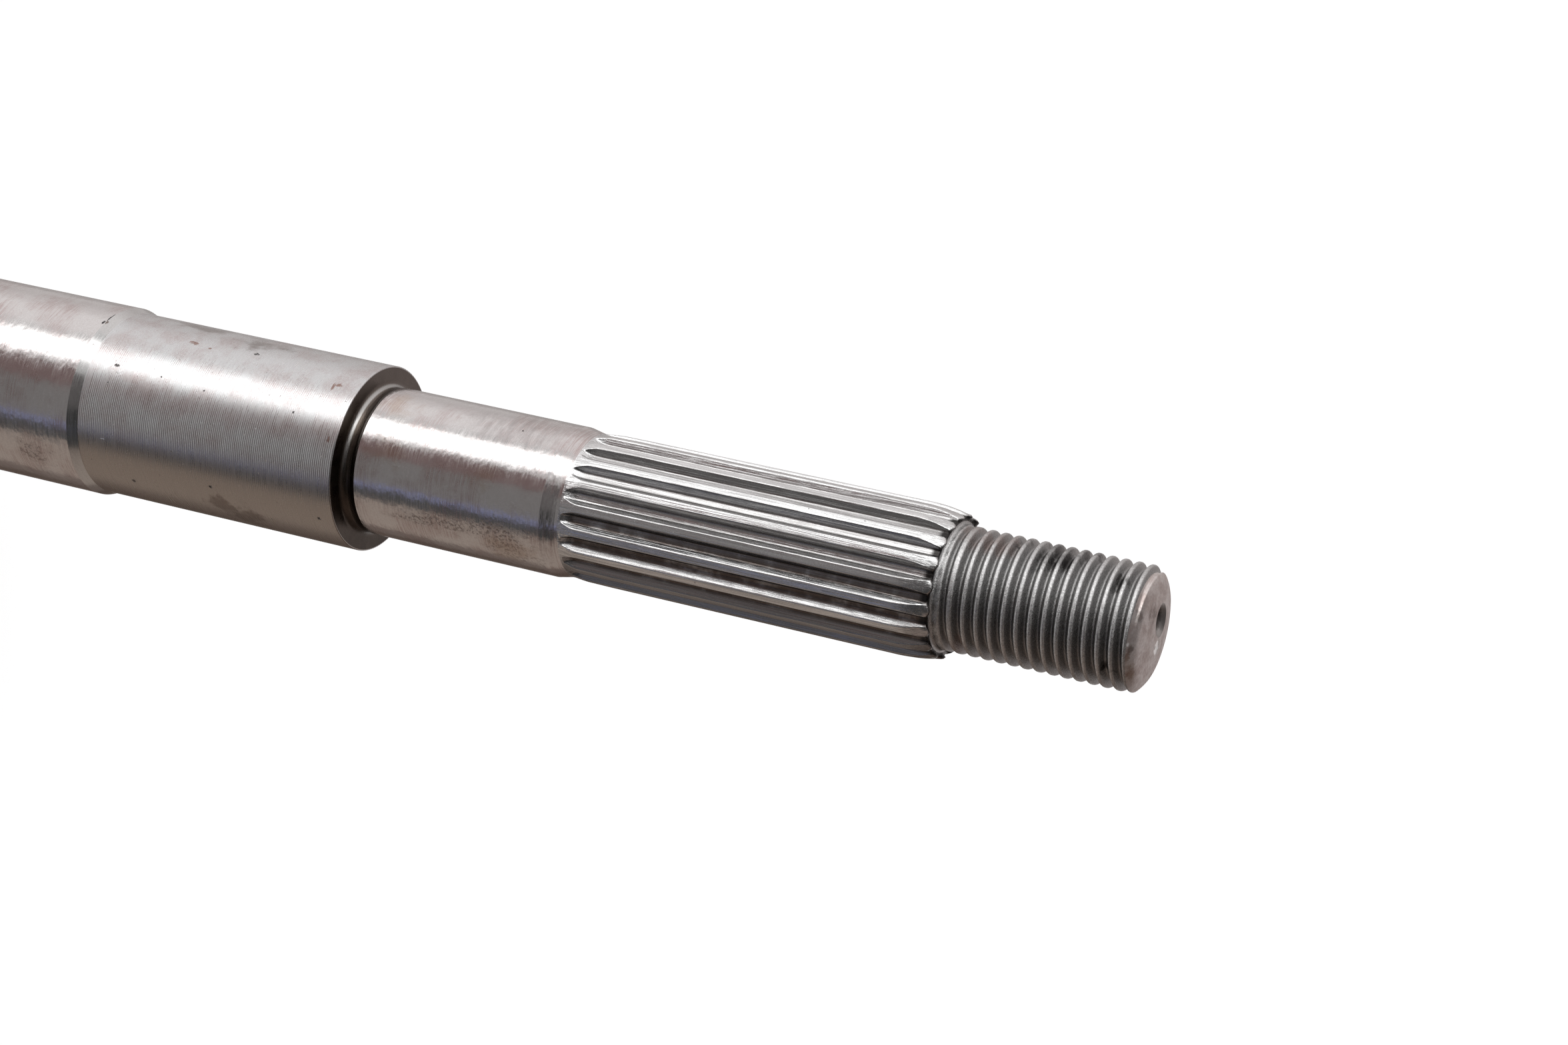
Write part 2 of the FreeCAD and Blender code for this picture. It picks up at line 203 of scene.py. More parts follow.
def smooth_min(a, b, width):
    """The smaller of two values, with the edge where they cross rounded."""
    near = max(width - abs(a - b), 0) / width
    return min(a, b) - near * near * width / 4


def bisect(inside, low, high, halvings=36):
    """The place between low and high up to which inside() holds."""
    for _ in range(halvings):
        middle = (low + high) / 2
        if inside(middle):
            low = middle
        else:
            high = middle
    return low


def over_teeth(height):
    """Radius over the tips of the teeth."""
    if height < spline_height:
        return neck_radius
    if height < crown_height:
        share = (height - spline_height) / (crown_height - spline_height)
        return between(neck_radius, spline_radius, math.sin(share * math.pi / 2))
    if height < lead_height:
        return spline_radius
    run = face_height - lead_break - lead_height
    drop = spline_radius - lead_radius
    curve = (run * run + drop * drop) / (2 * drop)
    rise = min(height - lead_height, run)
    radius = spline_radius - curve + math.sqrt(curve * curve - rise * rise)
    return radius - max(height - lead_height - run, 0)


def gap_half_width(x, height):
    """Half the width of a tooth gap at the distance x from the axis, or None below it."""
    below = max(gap_height - height, 0)
    axis_x = root_radius + runout_radius
    x = axis_x - math.hypot(axis_x - x, below)
    if x < root_radius - 1e-9:
        return None
    if x < touch_x:
        return fillet_y + math.sqrt(max(root_fillet ** 2 - (x - fillet_x) ** 2, 0))
    return flank_y - math.sqrt(flank_curve ** 2 - (x - flank_x) ** 2)


def gap_radius(angle, height):
    """Radius of the gap's surface, at an angle from the middle of the gap."""
    def solid(x):
        half = gap_half_width(x, height)
        return half is None or half < x * math.tan(angle)
    return bisect(solid, root_radius - 0.2, root_radius + 2.2) / math.cos(angle)


def gap_edge(height):
    """Angle from the middle of a gap to the edge of the tooth."""
    radius = over_teeth(height)

    def in_gap(angle):
        half = gap_half_width(radius * math.cos(angle), height)
        return half is not None and radius * math.sin(angle) < half
    return bisect(in_gap, 0, tooth_pitch / 2)


gap_shares = (0, 0.18, 0.34, 0.48, 0.62, 0.81)
edge_steps = [math.radians(step) for step in (-0.62, -0.4, -0.2, 0, 0.2, 0.4, 0.62)]
least_edge = math.radians(1.6)
land_share = 0.45


def tooth_columns(edge):
    """Angles across half a tooth pitch, close together at the edge of the gap."""
    edge = max(edge, least_edge)
    gap = [share * (edge + edge_steps[0]) for share in gap_shares]
    brink = [edge + step for step in edge_steps]
    return gap + brink + [between(brink[-1], tooth_pitch / 2, land_share), tooth_pitch / 2]


def whole_turn(half_angles):
    """Angles all round the shaft, from the angles across half a tooth pitch."""
    period = half_angles + [tooth_pitch - angle for angle in half_angles[-2:0:-1]]
    return [tooth * tooth_pitch + angle for tooth in range(TEETH) for angle in period]


def spline_ring(height):
    """A ring of the spline. At the open end the teeth bulge out between the gaps."""
    edge = gap_edge(max(height, spline_height + 1e-6))
    half_angles = tooth_columns(edge)
    outside = over_teeth(height)
    bulge = end_bulge if height > bulge_start else 0
    half_ring = []
    for angle in half_angles:
        share = max(angle - edge, 0) / (tooth_pitch / 2 - edge)
        half_ring.append((smooth_min(gap_radius(angle, height), outside, edge_rounding),
                          height + bulge * math.sin(share * math.pi / 2)))
    period = half_ring + half_ring[-2:0:-1]
    return [(radius * math.cos(angle), radius * math.sin(angle), z)
            for angle, (radius, z) in zip(whole_turn(half_angles), period * TEETH)]


def join_unlike(coarse, fine, count, share, finish, fine_above):
    """Joins a ring of count points to one with share times as many, above or below it."""
    for column in range(count):
        here, following = coarse + column, coarse + (column + 1) % count
        edge = [fine + (column * share + step) % (count * share) for step in range(share + 1)]
        triangles = [(here, far, near) for near, far in zip(edge, edge[1:])]
        triangles.append((here, following, edge[-1]))
        for triangle in triangles:
            faces.append(triangle if fine_above else triangle[::-1])
            face_finishes.append(finish)


runout_steps = 14
straight_steps = 12
lead_steps = 12
runout_rows = [between(spline_height, gap_height, (row / runout_steps) ** 1.5)
               for row in range(1, runout_steps + 1)]
straight_rows = [between(gap_height, lead_height, row / straight_steps)
                 for row in range(1, straight_steps)]
lead_rows = [between(lead_height, face_height - lead_break, row / lead_steps)
             for row in range(lead_steps + 1)]
spline_rings = stack_rings([
    spline_ring(height) for height in
    [spline_height] + runout_rows + straight_rows + lead_rows + [face_height]], SPLINED)
join_unlike(neck_rings[1], spline_rings[0], turned_count, 2, SPLINED, True)

# The thread: a right-hand M14 x 1.5, whose crests are worn round and whose groove fades
# out towards the spline.
crest_radius = mounts["thread"]["dims"]["r_mm"]
tip_height = mounts["tip_centre"]["pos_m"][2] / MM
tip_crown = 0.7
tip_chamfer = 0.85
tip_edge_height = tip_height - tip_crown
thread_pitch = 1.5
thread_root_radius = 6.08
thread_root_flat = 0.25
thread_half_angle = math.radians(30)
thread_rounding = 0.16
full_thread = 20.07
runout_turns = 1.7
runout_power = 0.65
stop_height = tip_edge_height - full_thread
stop_angle = math.pi
thread_angles = even_angles(thread_count)


def thread_radius(angle, height):
    """Radius of the thread's surface, at any angle and height."""
    turned = ((angle - stop_angle) / (2 * math.pi)) % 1
    groove = round((height - stop_height) / thread_pitch - turned)
    away = abs((height - stop_height) / thread_pitch - turned - groove) * thread_pitch
    slope = (away - thread_root_flat / 2) / math.tan(thread_half_angle)
    fade = min(max(1 + (groove + turned) / runout_turns, 0), 1) ** runout_power
    rise = -smooth_min(-slope, 0, thread_rounding)
    depth = (crest_radius - thread_root_radius) * fade
    outside = crest_radius - max(height - (tip_edge_height - tip_chamfer), 0)
    return smooth_min(crest_radius - depth + rise, outside, thread_rounding)


# A fillet joins the thread to the spline's end face.
foot_fillet = 0.35
foot_steps = 5
foot = [(crest_radius + foot_fillet * (1 - math.sin(turn)),
         face_height + foot_fillet * (1 - math.cos(turn)))
        for turn in (math.pi / 2 * step / foot_steps for step in range(foot_steps + 1))]
foot_rings = stack_rings([round_ring(x, z, thread_angles) for x, z in foot], THREADED)
join_unlike(foot_rings[0], spline_rings[1], thread_count, 4, SPLINED, False)

# The thread's own rows follow its helix. Where they pass the ends they are pressed flat,
# and merged below.
tip_margin = 0.7
thread_low = face_height + foot_fillet
thread_high = tip_edge_height - tip_margin
half_rows = (0, 0.07, 0.14, 0.22, 0.32, 0.42, 0.5, 0.58, 0.66)
row_steps = half_rows + (thread_pitch / 2,) + tuple(
    thread_pitch - step for step in half_rows[:0:-1])
first_turn = -math.ceil((stop_height - thread_low) / thread_pitch) - 1
last_turn = math.ceil((thread_high - stop_height) / thread_pitch) + 1
thread_first = len(points)
for column in range(first_turn * thread_count, last_turn * thread_count + 1):
    angle = stop_angle + column * 2 * math.pi / thread_count
    for step in row_steps:
        height = stop_height + thread_pitch * column / thread_count + step
        height = min(max(height, thread_low), thread_high)
        radius = thread_radius(angle, height)
        points.append(Vector((radius * math.cos(angle), radius * math.sin(angle), height)) * MM)
row_count = len(row_steps)
for column in range((last_turn - first_turn - 1) * thread_count):
    here = thread_first + column * row_count
    for row in range(row_count):
        low = here + row
        high = low + 1 if row < row_count - 1 else here + thread_count * row_count
        faces.append((low, low + row_count, high + row_count, high))
        face_finishes.append(THREADED)

# The tip: a domed end face with a broad soft edge, a dent beside its middle, and the centre
# hole, off the axis.
tip_hole_x = mounts["tip_centre"]["pos_m"][0] / MM
tip_radius = crest_radius - tip_chamfer
dome_radius = (tip_radius ** 2 / tip_crown + tip_crown) / 2
bevel_width = 0.7
dent_place = Vector((1.55, 0.5))
dent_radius = 1.0
dent_depth = 0.16
tip_rim = crest_radius - 0.26
hole_rim = hole_mouth_radius + 0.1
hole_rim_depth = 0.05
tip_steps = 28


def end_height(x, y):
    """Height of the tip's face, with its dent and its bevel."""
    dome = tip_height - dome_radius + math.sqrt(dome_radius ** 2 - x * x - y * y)
    away = (Vector((x, y)) - dent_place).length / dent_radius
    bevel = tip_edge_height + tip_radius - math.hypot(x, y)
    return smooth_min(dome - dent_depth * max(1 - away * away, 0) ** 2, bevel, bevel_width)


def tip_point(x, y):
    """A point of the tip's face, or of the thread's groove where that cuts into it."""
    height = end_height(x, y)
    inward = min(thread_radius(math.atan2(y, x), height) / math.hypot(x, y), 1)
    return (x * inward, y * inward, height)


tip_rings = [[(thread_radius(angle, thread_high) * math.cos(angle),
               thread_radius(angle, thread_high) * math.sin(angle), thread_high)
              for angle in thread_angles]]
for step in range(tip_steps + 1):
    share = step / tip_steps
    radius = between(tip_rim, hole_rim, share)
    tip_rings.append([tip_point(radius * math.cos(angle) + tip_hole_x * share * share,
                                radius * math.sin(angle)) for angle in thread_angles])
stack_rings(tip_rings, TIP)
hole_rings = [tip_rings[-1]]
for radius, depth in rounded((
        (hole_mouth_radius, hole_rim_depth, 0), (hole_pilot_radius, hole_cone_depth, 0.1),
        (hole_pilot_radius, hole_pilot_depth, 0.1), (0, hole_depth, 0)), 3):
    ring = []
    for angle in thread_angles:
        x = radius * math.cos(angle) + tip_hole_x
        y = radius * math.sin(angle)
        ring.append((x, y, min(tip_height - depth, end_height(x, y))))
    hole_rings.append(ring)
stack_rings(hole_rings, HOLE)

# The whole shaft is one mesh, because it is one piece. Points that lie together are merged.
mesh = bpy.data.meshes.new("shaft")
mesh.from_pydata(points, [], faces)
mesh.polygons.foreach_set("material_index", face_finishes)
form = bmesh.new()
form.from_mesh(mesh)
bmesh.ops.remove_doubles(form, verts=form.verts, dist=0.002 * MM)
bmesh.ops.dissolve_degenerate(form, edges=form.edges, dist=0.001 * MM)
form.to_mesh(mesh)
form.free()
mesh.shade_smooth()
shaft = bpy.data.objects.new("shaft", mesh)
bpy.context.scene.collection.objects.link(shaft)
evened = shaft.modifiers.new("Even shading", "WEIGHTED_NORMAL")
evened.weight = 100
evened.keep_sharp = True

# The steel's finishes, one for each part of its surface. They are made from the same few
# effects: streaks, patches, specks, spots, grain and turning lines, each of them a node
# group. Upper and under mean the sides that lie so in the picture, and a darker underside
# is painted shade.
BRIGHT = (0.49, 0.492, 0.495, 1)
PINK = (0.33, 0.245, 0.235, 1)
TAN = (0.36, 0.27, 0.19, 1)
RUST = (0.17, 0.08, 0.055, 1)
BROWN = (0.13, 0.1, 0.085, 1)
BLACK = (0.03, 0.028, 0.027, 1)


def connect(tree, content, socket):
    """Links an output to a socket, or writes a plain value into it."""
    if isinstance(content, bpy.types.NodeSocket):
        tree.links.new(content, socket)
    else:
        socket.default_value = content


def place(tree, kind, settings=None, **inputs):
    """Adds a node, with its settings, and sets or links its inputs by name."""
    node = tree.nodes.new("ShaderNode" + kind)
    for setting, content in (settings or {}).items():
        setattr(node, setting, content)
    for name, content in inputs.items():
        connect(tree, content, node.inputs[name.replace("_", " ")])
    return node


def calculate(tree, operation, *contents):
    node = place(tree, "Math", {"operation": operation})
    for content, socket in zip(contents, node.inputs):
        connect(tree, content, socket)
    return node.outputs[0]


def calculate_vector(tree, operation, *contents):
    node = place(tree, "VectorMath", {"operation": operation})
    for content, socket in zip(contents, node.inputs):
        connect(tree, content, socket)
    return node.outputs["Value" if operation in ("LENGTH", "DOT_PRODUCT") else "Vector"]


def ramp(tree, content, low, high, to_low=0.0, to_high=1.0):
    """A smooth change from one number to another as the content passes from low to high."""
    return place(tree, "MapRange", {"interpolation_type": "SMOOTHSTEP"}, Value=content,
                 From_Min=low, From_Max=high, To_Min=to_low, To_Max=to_high).outputs[0]


def mix_colors(tree, mask, below, above):
    node = place(tree, "Mix", {"data_type": "RGBA"}, Factor=mask)
    connect(tree, below, node.inputs[6])
    connect(tree, above, node.inputs[7])
    return node.outputs[2]


def start_group(name, inputs, outputs):
    """A group with float or vector inputs, given with their first values, and float outputs."""
    tree = bpy.data.node_groups.new(name, "ShaderNodeTree")
    for socket, content in inputs.items():
        kind = "NodeSocketFloat" if isinstance(content, (int, float)) else "NodeSocketVector"
        tree.interface.new_socket(socket, in_out="INPUT", socket_type=kind).default_value = content
    for socket in outputs:
        tree.interface.new_socket(socket, in_out="OUTPUT", socket_type="NodeSocketFloat")
    return tree, tree.nodes.new("NodeGroupInput").outputs, tree.nodes.new("NodeGroupOutput").inputs


def millimetres(tree):
    """The place on the shaft, in mm from the middle of its plain end."""
    at = place(tree, "TexCoord").outputs["Object"]
    return calculate_vector(tree, "MULTIPLY", at, (1 / MM, 1 / MM, 1 / MM))


# Streaks: long thin marks, which run round the shaft or along it.
streaks, given, result = start_group(
    "Streaks", {"Around": 0.2, "Along": 6.0, "Offset": 0.0}, ("Value",))
stretched = place(streaks, "CombineXYZ", X=given["Around"], Y=given["Around"], Z=given["Along"])
at = calculate_vector(streaks, "MULTIPLY", millimetres(streaks), stretched.outputs[0])
shifted = calculate_vector(streaks, "ADD", at, given["Offset"])
noise = place(streaks, "TexNoise", Vector=shifted, Scale=1.0, Detail=3.0, Roughness=0.6)
streaks.links.new(ramp(streaks, noise.outputs[0], 0.3, 0.7), result["Value"])

# Patches: stains with ragged edges.
patches, given, result = start_group(
    "Patches", {"Size": 4.0, "Cover": 0.5, "Softness": 0.1, "Offset": 0.0}, ("Mask",))
at = calculate_vector(patches, "DIVIDE", millimetres(patches), given["Size"])
shifted = calculate_vector(patches, "ADD", at, given["Offset"])
noise = place(patches, "TexNoise", Vector=shifted, Scale=1.0, Detail=6.0, Roughness=0.62)
edge = calculate(patches, "SUBTRACT", 1.0, given["Cover"])
mask = ramp(patches, noise.outputs[0], calculate(patches, "SUBTRACT", edge, given["Softness"]),
            calculate(patches, "ADD", edge, given["Softness"]))
patches.links.new(mask, result["Mask"])

# Specks: pits and dots, a share of the points of an even scatter.
specks, given, result = start_group(
    "Specks", {"Spacing": 2.0, "Share": 0.2, "Size": 0.1, "Offset": 0.0}, ("Mask",))
at = calculate_vector(specks, "DIVIDE", millimetres(specks), given["Spacing"])
shifted = calculate_vector(specks, "ADD", at, given["Offset"])
ragged = place(specks, "TexNoise", Vector=shifted, Scale=9.0, Detail=2.0)
cells = place(specks, "TexVoronoi", Vector=shifted, Scale=1.0)
reach = calculate(specks, "MULTIPLY", given["Size"],
                  ramp(specks, ragged.outputs[0], 0.25, 0.75, 0.4, 1.6))
inside = ramp(specks, cells.outputs["Distance"], reach, calculate(specks, "MULTIPLY", reach, 0.5))
chosen = calculate(specks, "LESS_THAN", cells.outputs["Color"], given["Share"])
specks.links.new(calculate(specks, "MULTIPLY", inside, chosen), result["Mask"])

# A spot: one mark at a given place. Core is the share of its size that is at full strength.
spot, given, result = start_group(
    "Spot", {"Place": (0.0, 0.0, 0.0), "Size": (1.0, 1.0, 1.0), "Ragged": 1.0, "Core": 0.6},
    ("Mask",))
offset = calculate_vector(spot, "DIVIDE", calculate_vector(
    spot, "SUBTRACT", millimetres(spot), given["Place"]), given["Size"])
noise = place(spot, "TexNoise", Vector=calculate_vector(spot, "ADD", offset, given["Place"]),
              Scale=1.3, Detail=5.0, Roughness=0.65)
bent = calculate(spot, "MULTIPLY", calculate(spot, "SUBTRACT", noise.outputs[0], 0.5),
                 given["Ragged"])
away = calculate(spot, "ADD", calculate_vector(spot, "LENGTH", offset), bent)
spot.links.new(ramp(spot, away, 1.0, given["Core"]), result["Mask"])

# Grain: the fine even unevenness of the steel.
grained, given, result = start_group("Grain", {"Scale": 5.0}, ("Value",))
noise = place(grained, "TexNoise", Vector=millimetres(grained), Scale=given["Scale"], Detail=3.0,
              Roughness=0.7)
grained.links.new(ramp(grained, noise.outputs[0], 0.3, 0.7), result["Value"])

# Turning lines: the even feed marks of a lathe tool.
turning, given, result = start_group("Turning_lines", {"Feed": 0.254}, ("Height",))
here = millimetres(turning)
height = place(turning, "SeparateXYZ", Vector=here).outputs["Z"]
sway = place(turning, "TexNoise", Scale=1.0, Detail=2.0,
             Vector=calculate_vector(turning, "MULTIPLY", here, (0.08, 0.08, 0.6)))
phase = calculate(turning, "ADD", calculate(turning, "DIVIDE", height, given["Feed"]),
                  calculate(turning, "MULTIPLY", sway.outputs[0], 0.8))
wave = calculate(turning, "SINE", calculate(turning, "MULTIPLY", phase, 2 * math.pi))
turning.links.new(ramp(turning, wave, -1.0, 1.0), result["Height"])


def use(tree, effect, **inputs):
    """Places a group in a tree, and gives its output."""
    node = place(tree, "Group", {"node_tree": effect})
    for name, content in inputs.items():
        connect(tree, content, node.inputs[name])
    return node.outputs[0]


def towards(tree, turn, low, high):
    """A mask for the side of the shaft that faces a direction, in degrees from -Y round
    towards -X, from a cosine of low up to a cosine of high."""
    turn = math.radians(turn)
    at = place(tree, "TexCoord").outputs["Object"]
    flat = calculate_vector(tree, "MULTIPLY", at, (1.0, 1.0, 0.0))
    outward = calculate_vector(tree, "NORMALIZE", flat)
    facing = calculate_vector(tree, "DOT_PRODUCT", outward, (-math.sin(turn), -math.cos(turn), 0.0))
    return ramp(tree, facing, low, high)


def radius_mask(tree, low, high):
    """A mask that rises from one distance from the axis, in mm, to another."""
    flat = calculate_vector(tree, "MULTIPLY", millimetres(tree), (1.0, 1.0, 0.0))
    return ramp(tree, calculate_vector(tree, "LENGTH", flat), low, high)


def height_mask(tree, low, high):
    """A mask that rises from one height on the shaft, in mm, to another."""
    return ramp(tree, place(tree, "SeparateXYZ", Vector=millimetres(tree)).outputs["Z"], low, high)


def both(tree, mask, other):
    """A mask within another, or a mask faded to a plain strength."""
    return calculate(tree, "MULTIPLY", mask, other)


def any_of(tree, masks):
    together = masks[0]
    for mask in masks[1:]:
        together = calculate(tree, "MAXIMUM", together, mask)
    return together


def mark(tree, radius, turn, height, width, length, ragged=1.8, core=0.6):
    """One mark, at a distance from the axis in mm, a turn in degrees from -Y round towards
    -X, and a height in mm. width and length are half its size round the shaft and along it."""
    turn = math.radians(turn)
    return use(tree, spot, Ragged=ragged, Core=core, Size=(width, width, length),
               Place=(-radius * math.sin(turn), -radius * math.cos(turn), height))


def marks(tree, radius, ragged, core, rows):
    """Several marks at one distance from the axis. A row is a turn, height, width and length."""
    return any_of(tree, [mark(tree, radius, *row, ragged, core) for row in rows])


def layered(tree, color, layers):
    """A colour with others laid over it, each a mask, its strength and a colour."""
    for mask, strength, above in layers:
        color = mix_colors(tree, both(tree, mask, strength), color, above)
    return color


def new_finish(name):
    """A new steel, of which it gives the node tree."""
    material = bpy.data.materials.new(name)
    material.use_nodes = True
    return material.node_tree


def finish_steel(tree, color, roughness, heights):
    """Sets up the steel's shader. heights are pairs of a height and its depth in mm."""
    steel = tree.nodes["Principled BSDF"]
    steel.inputs["Metallic"].default_value = 1
    tree.links.new(color, steel.inputs["Base Color"])
    tree.links.new(roughness, steel.inputs["Roughness"])
    normal = None
    for height, depth in heights:
        bump = place(tree, "Bump", Height=height, Distance=depth * MM)
        if normal:
            tree.links.new(normal, bump.inputs["Normal"])
        normal = bump.outputs[0]
    tree.links.new(normal, steel.inputs["Normal"])


# Ground steel, on the large seat and the journal: bright, with fine lines round it, and
# faint tan and pink stains.
ground = new_finish("ground_steel")
lines = use(ground, streaks, Around=0.3, Along=8.0)
fine = use(ground, streaks, Around=0.6, Along=24.0, Offset=7.0)
wavy = use(ground, streaks, Around=0.25, Along=0.4, Offset=13.0)
grain = use(ground, grained, Scale=5.0)
pink = both(ground, use(ground, patches, Size=5.0, Cover=0.47, Softness=0.13, Offset=3.0),
            ramp(ground, lines, 0.1, 0.8, 0.2, 1.0))
tan = marks(ground, journal_radius, 2.4, 0.0, (
    (48, 90, 3.0, 3.0), (6, 91.5, 2.0, 3.4), (4, 104, 1.8, 2.6), (-50, 107, 3.0, 5.0)))
oily = any_of(ground, [
    marks(ground, journal_radius, 2.4, 0.2, ((-40, 99, 1.5, 8.0), (-46, 107, 3.2, 6.0))),
    mark(ground, big_radius, -45, 45, 2.5, 3.0, 2.4, 0.2)])
scuffs = both(ground, use(ground, streaks, Around=0.35, Along=1.6, Offset=31.0),
              mark(ground, journal_radius, 52, 105, 6.0, 7.0, 2.0, 0.2))
dots = both(ground, use(ground, patches, Size=0.36, Cover=0.45, Softness=0.07, Offset=2.0), oily)
chips = any_of(ground, [
    marks(ground, big_radius, 3.0, 0.6, ((49, 50.2, 0.35, 0.22), (55, 50.4, 0.9, 0.1))),
    mark(ground, journal_radius, 49, 106, 0.14, 0.12, 3.0),
    use(ground, specks, Spacing=2.2, Share=0.2, Size=0.035)])
color = layered(ground, (0.51, 0.492, 0.487, 1), (
    (pink, 0.65, PINK), (tan, 0.4, TAN), (scuffs, 0.6, (0.3, 0.28, 0.275, 1)),
    (oily, 0.15, BROWN), (grain, 0.1, BROWN), (dots, 0.65, BROWN), (chips, 1.0, BLACK)))
rough = calculate(ground, "ADD", ramp(ground, lines, 0.15, 0.85, 0.12, 0.22), any_of(ground, [
    both(ground, pink, 0.06), both(ground, grain, 0.05)]))
finish_steel(ground, color, rough, (
    (wavy, 0.03), (grain, 0.0012), (fine, 0.0005), (lines, 0.0014),
    (any_of(ground, [dots, chips]), -0.01)))

# The shallow cone between the two seats: turned smooth, with a chip or two at its edge.
cone = new_finish("step_steel")
lines = use(cone, streaks, Around=0.22, Along=9.0)
chips = any_of(cone, [
    marks(cone, big_radius, 3.0, 0.6, ((50, 50.55, 0.35, 0.2), (31, 51.0, 0.2, 0.2))),
    use(cone, specks, Spacing=1.2, Share=0.2, Size=0.05)])
color = layered(cone, (0.46, 0.455, 0.45, 1), (
    (chips, 0.9, BROWN), (use(cone, grained, Scale=5.0), 0.12, BROWN)))
finish_steel(cone, color, ramp(cone, lines, 0.0, 1.0, 0.16, 0.26), ((lines, 0.001), (chips, -0.01)))

# Turned steel, on the second seat: satin, with even feed marks, pits and a few stains. It is
# painted greyer on its underside, as shade, and the feed marks are fainter there and on top.
turned = new_finish("turned_steel")
feed = use(turned, turning, Feed=0.254)
lines = use(turned, streaks, Around=0.25, Along=4.0)
grain = use(turned, grained, Scale=5.0)
pink = both(turned, use(turned, patches, Size=3.5, Cover=0.47, Softness=0.13, Offset=5.0),
            ramp(turned, grain, 0.0, 1.0, 0.5, 1.0))
# Painted shade: the second seat's underside is greyer.
shaded_underside = towards(turned, -60, 0.58, 0.95)
upper = towards(turned, 75, 0.45, 0.9)
pits = marks(turned, second_radius, 3.0, 0.6, (
    (21.2, 55.1, 0.22, 0.36), (9.3, 54.8, 0.1, 0.14), (20, 61.4, 0.1, 0.13), (17.2, 67.5, 0.12, 0.14),
    (-24, 64.7, 0.1, 0.13), (-54, 58.4, 0.28, 0.24), (-48.5, 84, 0.22, 0.24), (-43, 69.6, 0.2, 0.3),
    (53, 70.9, 0.25, 0.4), (16, 79.6, 0.14, 0.14)))
rusty = marks(turned, second_radius, 3.4, 0.6, (
    (50.5, 62.8, 0.3, 0.5), (51.5, 62.3, 0.2, 0.5), (48.8, 65, 0.2, 0.24), (39, 82.8, 0.7, 0.2),
    (41, 83.3, 0.25, 0.5), (4.3, 85, 0.4, 0.22)))
blush = mark(turned, second_radius, 15.5, 57.8, 1.0, 2.0, 1.5, 0.2)
smudge = marks(turned, second_radius, 3.6, 0.1, ((-58, 70.3, 2.6, 2.2), (-66, 73.5, 2.6, 3.4)))
grime = marks(turned, second_radius, 3.5, 0.0, ((66, 70, 2.6, 3.6), (78, 60, 2.6, 5.0)))
nicks = mark(turned, second_radius, -26, 55.2, 0.06, 0.4, 3.0)
peppered = both(turned, use(turned, specks, Spacing=0.5, Share=0.3, Size=0.16, Offset=4.0),
                use(turned, patches, Size=5.0, Cover=0.5, Softness=0.12, Offset=17.0))
dots = any_of(turned, [use(turned, specks, Spacing=1.1, Share=0.2, Size=0.07), peppered])
color = layered(turned, BRIGHT, (
    (pink, 0.5, PINK), (shaded_underside, 1.0, (0.335, 0.305, 0.28, 1)), (blush, 0.4, PINK),
    (smudge, 0.75, BROWN), (grime, 0.65, BROWN), (grain, 0.12, BROWN), (dots, 0.6, BROWN),
    (rusty, 0.75, RUST), (pits, 0.9, BLACK), (nicks, 1.0, (0.9, 0.9, 0.9, 1))))
rough = ramp(turned, lines, 0.0, 1.0, 0.26, 0.32)
worn_feed = both(turned, feed, ramp(turned, any_of(turned, [shaded_underside, upper]), 0.3, 1.0, 1.0, 0.3))
finish_steel(turned, color, rough, (
    (worn_feed, 0.016), (lines, 0.002), (grain, 0.002), (any_of(turned, [pits, dots]), -0.02)))

# The shoulder's face and the undercut at its foot: turned, dark brown, with darker patches of
# oil, and a little lighter on the upper side. The undercut's dark is painted shade, and a
# lighter ring in the fillet is a painted highlight that fades towards the under side.
relief = new_finish("shoulder_steel")
oil = use(relief, patches, Size=3.0, Cover=0.55, Softness=0.2)
rings = use(relief, streaks, Around=0.5, Along=9.0)
# Painted highlight: a lighter ring where the fillet's highlight falls, faded towards the under side.
highlight_ring = both(relief, radius_mask(relief, 8.44, 8.54), radius_mask(relief, 8.9, 8.66))
highlight_ring = both(relief, highlight_ring, towards(relief, 60, 0.1, 0.8))
upper = towards(relief, 85, 0.3, 0.95)
# Below that ring the undercut keeps the dark colour, as painted shade.
color = layered(relief, (0.09, 0.072, 0.06, 1), (
    (oil, 1.0, (0.055, 0.044, 0.036, 1)), (upper, 1.0, (0.12, 0.1, 0.088, 1)),
    (highlight_ring, 1.0, (0.34, 0.33, 0.32, 1))))
finish_steel(relief, color, ramp(relief, rings, 0.0, 1.0, 0.24, 0.36), ((rings, 0.003),))

# The spline: milled along the teeth. The lands and the flanks that face up in the picture are
# bright, while the flanks that face down and the spline's underside get painted shade. Brown
# dirt and painted shade darken the bottoms of the gaps, and a painted shadow lies where the
# teeth meet their end face.
splined = new_finish("splined_steel")
along = use(splined, streaks, Around=6.0, Along=0.09)
broad = use(splined, streaks, Around=2.5, Along=0.12, Offset=4.0)
grain = use(splined, grained, Scale=6.0)
nicks = use(splined, specks, Spacing=0.7, Share=0.1, Size=0.13)
surface = place(splined, "TexCoord").outputs
onward = calculate_vector(splined, "NORMALIZE", calculate_vector(
    splined, "CROSS_PRODUCT", (0.0, 0.0, 1.0), surface["Object"]))
# Painted shade on the flanks that face one way round, which face down in the picture.
shaded_flanks = ramp(splined, calculate_vector(splined, "DOT_PRODUCT", surface["Normal"], onward), 0.3, 0.62)
shaded_flanks = both(splined, shaded_flanks, ramp(splined, towards(splined, 75, 0.91, 0.97), 0.0, 1.0, 1.0, 0.1))
below = towards(splined, -60, 0.3, 0.9)
# Painted shade: the spline's underside is darker.
shaded_underside = towards(splined, -78, 0.8, 0.96)
